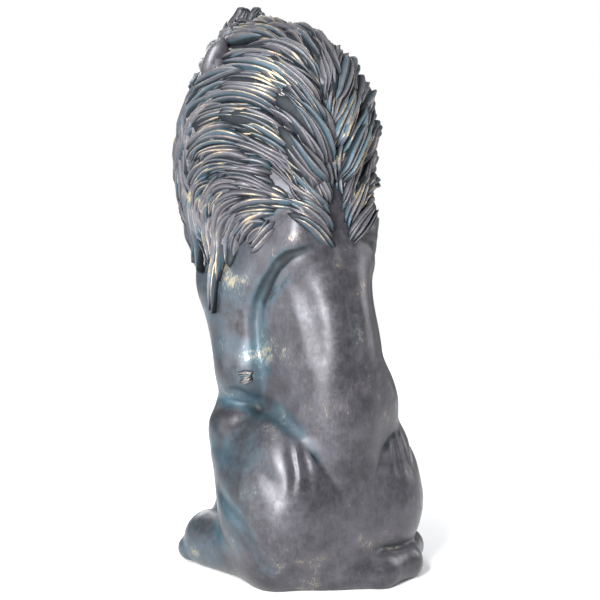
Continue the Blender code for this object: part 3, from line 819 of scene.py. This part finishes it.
def carve(locks, comb, chance, hair):
    """Each lock as ridged strands side by side that end in points of their own."""
    profile = np.linspace(-1.0, 1.0, ACROSS)[:, None]
    for line, outs, width, lift in zip(locks.lines, locks.outs, locks.widths, locks.lifts):
        number = max(2, round(comb.number * width / 0.040))
        shares = (np.arange(number) + 0.5) / number * 2.0 - 1.0
        for share in shares:
            start = chance.uniform(0.0, 0.16)
            stop = 1.0 - chance.uniform(0.0, 0.30)
            at = np.linspace(start, stop, comb.rings)
            middle, out = smooth_line(line, at), smooth_line(outs, at)
            out /= lengths_of(out)
            way = np.gradient(middle, axis=0)
            way /= lengths_of(way)
            beside = np.cross(out, way) * locks.side
            beside /= lengths_of(beside)
            swell = np.interp(at, [0, 0.15, 0.40, 0.70, 0.90, 1.0], comb.swell)
            rise = np.interp(at, [0.0, 0.25, 0.7, 1.0], [comb.root, 0.10, 0.26, 0.12]) * lift
            own = (at - start) / (stop - start)
            taper = np.interp(own, [0, 0.14, 0.45, 0.80, 1.0], [0.12, 0.80, 1.0, 0.62, 0.03])
            wander = 0.60 if chance.random() < 0.20 else 0.24
            sway = wander * chance.uniform(-1.0, 1.0) * np.sin(own * math.pi * 1.4 + chance.uniform(0, 6))
            half = 0.5 * width / number * 1.5 * taper * chance.uniform(0.50, 1.70)
            level = (comb.level + chance.uniform(-0.11, 0.13)) * width
            tone, phase = chance.random(), chance.uniform(0, 6)
            rise_side = np.clip((profile + 1.0) / (CREST + 1.0), 0.0, 1.0)
            fall_side = np.clip((1.0 - profile) / (1.0 - CREST), 0.0, 1.0) ** 1.7
            ridge = np.minimum(rise_side, fall_side)
            ridge = ridge + 0.10 * np.cos(8.0 * profile + phase) * (1.0 - profile**2)
            rings = []
            for i in range(comb.rings):
                wide = width * swell[i]
                side = (share + sway[i]) * wide / 2 * 0.94
                reach = side + profile * half[i]
                spot = np.clip(reach / (wide / 2), -1.15, 1.15)
                leaf = 1.0 - np.abs(spot) ** 1.7
                up = (leaf * comb.thickness - spot * comb.tilt) * wide + rise[i] * width + level
                top = middle[i] + beside[i] * reach + out[i] * (up + (ridge * 1.10 - 0.36) * half[i])
                down = rise[i] * width - side * 2 * comb.tilt - 0.35 * width
                under = middle[i] + beside[i] * (side + np.array([[0.5], [-0.5]]) * half[i]) + out[i] * down
                rings.append(np.concatenate([top, under]))
            # Undersides get no crest, so they take the painted shade
            crest = np.concatenate([np.clip(ridge[:, 0], 0.0, 1.0), [0.0, 0.0]])
            across = np.concatenate([profile[:, 0], [1.2, -1.2]])
            if locks.side < 0:
                rings = [ring[::-1] for ring in rings]
                crest, across = crest[::-1], across[::-1]
            points, faces = closed_rings(rings)
            length = np.linalg.norm(np.diff(middle, axis=0), axis=1).sum()
            # Painted light along each strand: shine dims the crest's painted highlight near the root and
            # adds painted shade there, where the strand dives under its neighbours; hollow darkens the
            # grooves and undersides as painted shade and also draws the blue-green there
            shine = np.interp(own, [0.0, 0.25, 1.0], [0.25, 1.0, 0.85])[:, None]
            place = np.stack([
                (across * half[:, None]).ravel() * HEIGHT,
                np.repeat(own * length * HEIGHT, len(crest)),
                np.full(len(points), tone * 3.0),
            ], axis=1)
            hollow = (1.0 - crest) * 0.8 + 0.35 * (1.0 - shine)
            tones = np.full(len(points), tone)
            hair.add(points, faces, (shine * crest).ravel(), hollow.ravel(), tones, place)


def lay_leaves(locks, hair):
    """The smooth leaf under each lock's strands, as the solid has it, painted near-black as the shade that
    falls between the strands.
    """
    for points, faces in blades(locks, thickness=0.20):
        flat = np.zeros(len(points))
        # Low crest and high hollow: painted shade, so the leaf shows nearly black between the strands
        hair.add(points, faces, flat + 0.1, flat + 0.85, flat + 0.3, points * HEIGHT)


# More rows on the neck, as in MANE_ROWS
FILLING_ROWS = ((116, 0.655, 0.82), (91, 0.66, 0.87), (65, 0.66, 0.90), (40, 0.65, 0.91), (15, 0.64, 0.91))
STRAY_ROWS = ((100, 0.68, 0.82), (70, 0.67, 0.86), (45, 0.66, 0.89), (20, 0.64, 0.89))


def filling_rows(chance, side):
    """Lower, thinner locks between the main ones."""
    rows = Rows(chance, side)
    for degrees, foot, top in FILLING_ROWS:
        rows.row(nape_flow, rows.round_neck(degrees, foot, top, 0.020), 0.135, 0.026, 0.35)
    for degrees in (3, 8):
        rows.row(nape_flow, rows.round_neck(degrees, 0.615, 0.93, 0.014), 0.100, 0.020, 0.25)
    for radius, first, count, back in ((0.146, 64, 14, 0.09), (0.122, 60, 16, 0.05), (0.100, 50, 18, 0.01)):
        rows.row(face_flow, rows.round_face(radius, first, 160, count, back), 0.110, 0.024, 0.5)
    for low, first in ((0.66, 24), (0.68, 32), (0.70, 40)):
        fringe = []
        for degrees in range(first, 100, 7):
            fringe.append(rows.round_neck(degrees, low - 0.015, low + 0.015, 0.02)[0])
        rows.row(nape_flow, fringe, 0.085, 0.024, 0.6)
    for low in np.arange(0.50, 0.78, 0.040):
        places = []
        for x in np.arange(0.0, 0.13, 0.024):
            places.append((x, -0.20, low + chance.uniform(-0.01, 0.01) + 0.5 * x))
        rows.row(chest_flow, places, 0.100, 0.026, 0.5)
    crown = [(x, y, 0.96) for y in (0.04, 0.0, -0.04, -0.08) for x in (0.006, 0.028, 0.052, 0.074)]
    rows.row(crown_flow, crown, 0.100, 0.024, 0.4)
    wavy = []
    for flow, places, lengths, widths, bends, lifts in rows.made:
        wavy.append((flow, places, lengths, widths, [2.4 * bend for bend in bends], lifts))
    return wavy


def whorl_rows(side):
    """The small tuft at the elbow."""
    rows = Rows(random.Random(5), side)
    turns = [math.radians(degrees) for degrees in range(60, 330, 30)]
    places = [(0.124, 0.066 + 0.006 * math.sin(turn), 0.372 + 0.006 * math.cos(turn)) for turn in turns]
    rows.row(elbow_flow, places, 0.020, 0.009, 0.2)
    return rows.made


def tuft_flow(points, side):
    """Up the forelocks, with the tips curled in."""
    curl = np.clip((points[:, 2] - 0.965) / 0.02, 0.0, 1.0)
    return np.stack([-0.5 * curl * side, 0.25 + 0.9 * curl, np.full(len(points), 1.0)], axis=1)


def tuft_rows(side):
    """Strands that climb the upright forelocks."""
    rows = Rows(random.Random(9), side)
    for height, length in ((0.930, 0.042), (0.944, 0.029)):
        turns = [math.radians(degrees) for degrees in range(0, 360, 40)]
        places = []
        for turn in turns:
            places.append((0.022 + 0.022 * math.sin(turn), -0.160 - 0.022 * math.cos(turn), height))
        rows.row(tuft_flow, places, length, 0.016, 0.5)
    return rows.made


def stray_rows(chance, side):
    """Long thin strands that sweep over the others."""
    rows = Rows(chance, side)
    for degrees, foot, top in STRAY_ROWS:
        rows.row(nape_flow, rows.round_neck(degrees, foot, top, 0.030), 0.200, 0.016, 2.2)
    return rows.made


def make_mane(material):
    chance = random.Random(21)
    skin, body = skin_under_mane(), body_figure()
    drawn = Comb(5, [0.55, 0.90, 1.0, 0.86, 0.58, 0.30], 0.0)
    loose = Comb(4, [0.80, 1.0, 1.0, 0.95, 0.8, 0.5], -0.05, thickness=0.22, root=-0.18, rings=RINGS - 3)
    stray = Comb(2, [0.60, 1.0, 1.0, 0.9, 0.7, 0.5], 0.25)
    tuft = Comb(8, [0.60, 1.0, 1.0, 0.9, 0.7, 0.5], 0.10)
    upright = Comb(6, [0.80, 1.0, 1.0, 0.9, 0.6, 0.3], 0.0, root=-0.10)
    brow = Figure(head() + forelocks() + mane_core())
    main = mane()
    for side, name in ((1.0, "mane_left"), (-1.0, "mane_right")):
        upper, lower = Hair(), Hair()
        for locks in main:
            if locks.side == side:
                lay_leaves(locks, lower)
                carve(locks, drawn, chance, upper)
        for locks in grown(filling_rows(chance, side), skin, side):
            carve(locks, loose, chance, lower)
        for locks in grown(stray_rows(chance, side), skin, side):
            carve(locks, stray, chance, upper)
        for locks in grown(tuft_rows(side), brow, side):
            carve(locks, upright, chance, lower)
        for locks in grown(whorl_rows(side), body, side):
            carve(locks, tuft, chance, lower)
        upper.piece(name + "_locks", material)
        lower.piece(name + "_under", material)


class Nodes:
    """Short calls to make a material's nodes and link them."""

    def __init__(self, tree):
        self.tree = tree

    def node(self, kind, **settings):
        made = self.tree.nodes.new(kind)
        for key, value in settings.items():
            setattr(made, key, value)
        return made

    def link(self, start, end):
        if hasattr(start, "links"):
            self.tree.links.new(start, end)
        else:
            end.default_value = start

    def math(self, operation, a, b):
        made = self.node("ShaderNodeMath", operation=operation)
        self.link(a, made.inputs[0])
        self.link(b, made.inputs[1])
        return made.outputs[0]

    def plus(self, total, value, weight, middle=None):
        """The total and this much of a value, which counts from its middle if one is given."""
        if middle is not None:
            value = self.math("SUBTRACT", value, middle)
        return self.math("ADD", total, self.math("MULTIPLY", value, weight))

    def spread(self, value, low, high, to_low=0.0, to_high=1.0):
        made = self.node("ShaderNodeMapRange", interpolation_type="SMOOTHSTEP")
        for key, number in (("From Min", low), ("From Max", high), ("To Min", to_low), ("To Max", to_high)):
            made.inputs[key].default_value = number
        self.link(value, made.inputs["Value"])
        return made.outputs["Result"]

    def noise(self, place, scale, detail=4.0, roughness=0.55, stretch=None):
        if stretch:
            mapping = self.node("ShaderNodeMapping")
            mapping.inputs["Scale"].default_value = stretch
            self.link(place, mapping.inputs["Vector"])
            place = mapping.outputs["Vector"]
        made = self.node("ShaderNodeTexNoise")
        self.link(place, made.inputs["Vector"])
        made.inputs["Scale"].default_value = scale
        made.inputs["Detail"].default_value = detail
        made.inputs["Roughness"].default_value = roughness
        return made.outputs["Fac"]

    def mix(self, share, a, b):
        made = self.node("ShaderNodeMix", data_type="RGBA")
        self.link(share, made.inputs["Factor"])
        for colour, socket in ((a, made.inputs[6]), (b, made.inputs[7])):
            if isinstance(colour, tuple):
                socket.default_value = (*colour, 1.0)
            else:
                self.link(colour, socket)
        return made.outputs[2]

    def attribute(self, name, output="Fac"):
        return self.node("ShaderNodeAttribute", attribute_name=name).outputs[output]


SLATE_DARK = (0.026, 0.026, 0.031)
SLATE = (0.072, 0.069, 0.080)
SLATE_PALE = (0.190, 0.188, 0.205)
TEAL = (0.026, 0.070, 0.096)
GOLD = (0.46, 0.335, 0.165)
CREAM = (0.50, 0.43, 0.31)
# Near-black for the painted shade in the deepest hollows, between the strands and under them
PAINTED_SHADE_BLACK = (0.008, 0.011, 0.014)


# What differs between the paints: streaks, gold, blue-green, how much painted highlight lies on the crests,
# gloss, bump depth, and what they follow
Finish = namedtuple(
    "Finish",
    "streak brushed gilded patchy teal edges rough depth along_hair",
    defaults=(0.14, 0.43, 0.95, 0.90, 0.30, 0.29, 0.25, False),
)


def patina(name, finish):
    """Slate bronze paint with blue-green left in the hollows and gold rubbed on the crests, with painted
    shade darkening the deepest hollows nearly to black and a painted highlight of pale slate on the sharpest
    crests.
    """
    material = bpy.data.materials.new(name)
    material.use_nodes = True
    n = Nodes(material.node_tree)
    shader = material.node_tree.nodes["Principled BSDF"]
    place = n.node("ShaderNodeTexCoord").outputs["Object"]
    brush_place = n.attribute("hair", "Vector") if finish.along_hair else place
    crest = n.attribute("crest")
    hollow = n.attribute("hollow")
    tone = n.attribute("tone")
    cloud = n.noise(place, 8.0, 4.0, 0.55)
    patches = n.noise(place, 21.0, 6.0, 0.62)
    mottle = n.noise(place, 110.0, 6.0, 0.70)
    grain = n.noise(place, 520.0, 3.0, 0.6)
    brush = n.noise(brush_place, 1.0, 4.0, 0.65, stretch=finish.streak)
    speck = n.noise(brush_place, 1.0, 3.0, 0.7, stretch=tuple(2.3 * s for s in finish.streak))
    shade = n.plus(n.math("MULTIPLY", cloud, 0.30), patches, 0.42)
    shade = n.plus(shade, mottle, 0.22)
    shade = n.plus(shade, brush, finish.brushed, middle=0.5)
    shade = n.math("ADD", shade, 0.15)
    shade = n.plus(shade, grain, 0.10)
    # Painted shade: darker away from the crests, in the grooves and hollows between them
    shade = n.plus(shade, crest, 0.14, middle=1.0)
    colour = n.mix(n.spread(shade, 0.44, 0.66), SLATE_DARK, SLATE)
    colour = n.mix(n.spread(shade, 0.64, 0.86), colour, SLATE_PALE)
    wash = n.plus(n.math("MULTIPLY", hollow, 0.9), patches, 1.6, middle=0.5)
    wash = n.plus(wash, tone, 0.85, middle=0.5)
    colour = n.mix(n.spread(wash, 0.16, 1.00, 0.0, finish.teal), colour, TEAL)
    # Painted shade: where hollow is high (deep recesses, grooves between strands, their undersides and
    # roots, the leaves under them) the colour goes nearly black
    colour = n.mix(n.spread(hollow, 0.50, 0.88, 0.0, 0.96), colour, PAINTED_SHADE_BLACK)
    # Painted highlight: the sharpest crests are lightened towards pale slate; edge also guides the gold
    # rubbed on below, which is the paint's own
    edge = n.math("POWER", crest, 3.0)
    colour = n.mix(n.math("MULTIPLY", edge, finish.edges), colour, SLATE_PALE)
    rub = n.plus(n.math("MULTIPLY", edge, 0.36), speck, 0.62)
    rub = n.plus(rub, patches, finish.patchy, middle=0.5)
    gold = 0.80 if finish.along_hair else 0.50
    gilt = n.spread(rub, finish.gilded, finish.gilded + 0.15, 0.0, gold)
    colour = n.mix(gilt, colour, n.mix(mottle, GOLD, CREAM))
    n.link(colour, shader.inputs["Base Color"])
    rough = n.spread(mottle, 0.3, 0.7, finish.rough, finish.rough + 0.14)
    rough = n.plus(rough, hollow, 0.25)
    n.link(rough, shader.inputs["Roughness"])
    n.link(n.spread(gilt, 0.0, 1.0, 0.40, 0.75), shader.inputs["Metallic"])
    height = n.plus(n.math("MULTIPLY", mottle, 0.60), brush, finish.brushed)
    bump = n.node("ShaderNodeBump")
    bump.inputs["Strength"].default_value = finish.depth
    bump.inputs["Distance"].default_value = 0.0012
    n.link(height, bump.inputs["Height"])
    n.link(bump.outputs["Normal"], shader.inputs["Normal"])
    return material


def make_floor():
    """A round pale floor that reaches only as far as the lights make it white."""
    bpy.ops.mesh.primitive_circle_add(radius=1.5, vertices=96, fill_type="NGON")
    floor = bpy.context.object
    floor.name = "floor"
    material = bpy.data.materials.new("floor")
    material.use_nodes = True
    shader = material.node_tree.nodes["Principled BSDF"]
    shader.inputs["Base Color"].default_value = (0.90, 0.90, 0.90, 1.0)
    shader.inputs["Roughness"].default_value = 0.9
    floor.data.materials.append(material)


def aimed(obj, target):
    obj.rotation_euler = (Vector(target) - obj.location).to_track_quat("-Z", "Y").to_euler()


def round_about(azimuth, distance, height):
    """A place at this azimuth from the statue; 0 is in front of the lion, 90 at its left side."""
    angle = math.radians(azimuth)
    return (distance * math.sin(angle) - MIDDLE[0], -distance * math.cos(angle) - MIDDLE[1], height)


# Name, azimuth in degrees, distance and height in metres, width and height of the panel, power in watts
LIGHTS = (
    ("top", 150.0, 0.3, 2.9, (2.2, 2.2), 34.0),
    ("key", 128.0, 2.0, 1.1, (0.45, 1.7), 118.0),
    ("side", 80.0, 2.2, 0.7, (0.9, 1.5), 20.0),
    ("front", 350.0, 2.4, 1.4, (1.2, 1.4), 40.0),
    ("right", 258.0, 2.4, 1.2, (0.8, 1.6), 30.0),
)


def make_light(name, azimuth, distance, height, size, power):
    light = bpy.data.lights.new(name, "AREA")
    light.shape = "RECTANGLE"
    light.size, light.size_y = size
    light.energy = power
    lamp = new_object(name, light)
    lamp.location = round_about(azimuth, distance, height)
    aimed(lamp, (0.0, 0.0, HEIGHT * 0.55))


PHOTO_AZIMUTH = 148.0  # behind the lion's left shoulder
CAMERA_DISTANCE = 3.1 * HEIGHT


def make_camera():
    data = bpy.data.cameras.new("camera")
    camera = new_object("camera", data)
    camera.location = round_about(PHOTO_AZIMUTH, CAMERA_DISTANCE, HEIGHT)
    aimed(camera, (-MIDDLE[0], -MIDDLE[1], HEIGHT / 2))
    data.lens = 105.0
    data.shift_x = 0.013
    data.shift_y = -0.0175
    bpy.context.scene.camera = camera


def make_world():
    """White to look at, and darker as a light, as in a studio with a white sweep."""
    world = bpy.data.worlds.new("studio")
    world.use_nodes = True
    tree = world.node_tree
    white, dim = tree.nodes["Background"], tree.nodes.new("ShaderNodeBackground")
    for light, colour, strength in ((white, (1.0, 1.0, 1.0, 1.0), 1.0), (dim, (0.95, 0.97, 1.0, 1.0), 0.38)):
        light.inputs["Color"].default_value = colour
        light.inputs["Strength"].default_value = strength
    mix = tree.nodes.new("ShaderNodeMixShader")
    tree.links.new(tree.nodes.new("ShaderNodeLightPath").outputs["Is Camera Ray"], mix.inputs[0])
    tree.links.new(dim.outputs[0], mix.inputs[1])
    tree.links.new(white.outputs[0], mix.inputs[2])
    tree.links.new(mix.outputs[0], tree.nodes["World Output"].inputs["Surface"])
    bpy.context.scene.world = world
    bpy.context.scene.view_settings.view_transform = "Standard"


make_world()
make_floor()
for lamp in LIGHTS:
    make_light(*lamp)
make_camera()
body_paint = patina("patina_body", Finish((300.0, 300.0, 60.0)))
head_paint = patina("patina_head", Finish((280.0, 280.0, 70.0), patchy=1.00, teal=0.75, rough=0.30))
mane_finish = Finish((420.0, 26.0, 1.0), 0.40, 0.535, edges=0.45, rough=0.38, depth=0.50, along_hair=True)
mane_paint = patina("patina_mane", mane_finish)
make_body(body_paint)
make_head(head_paint)
make_mane(mane_paint)
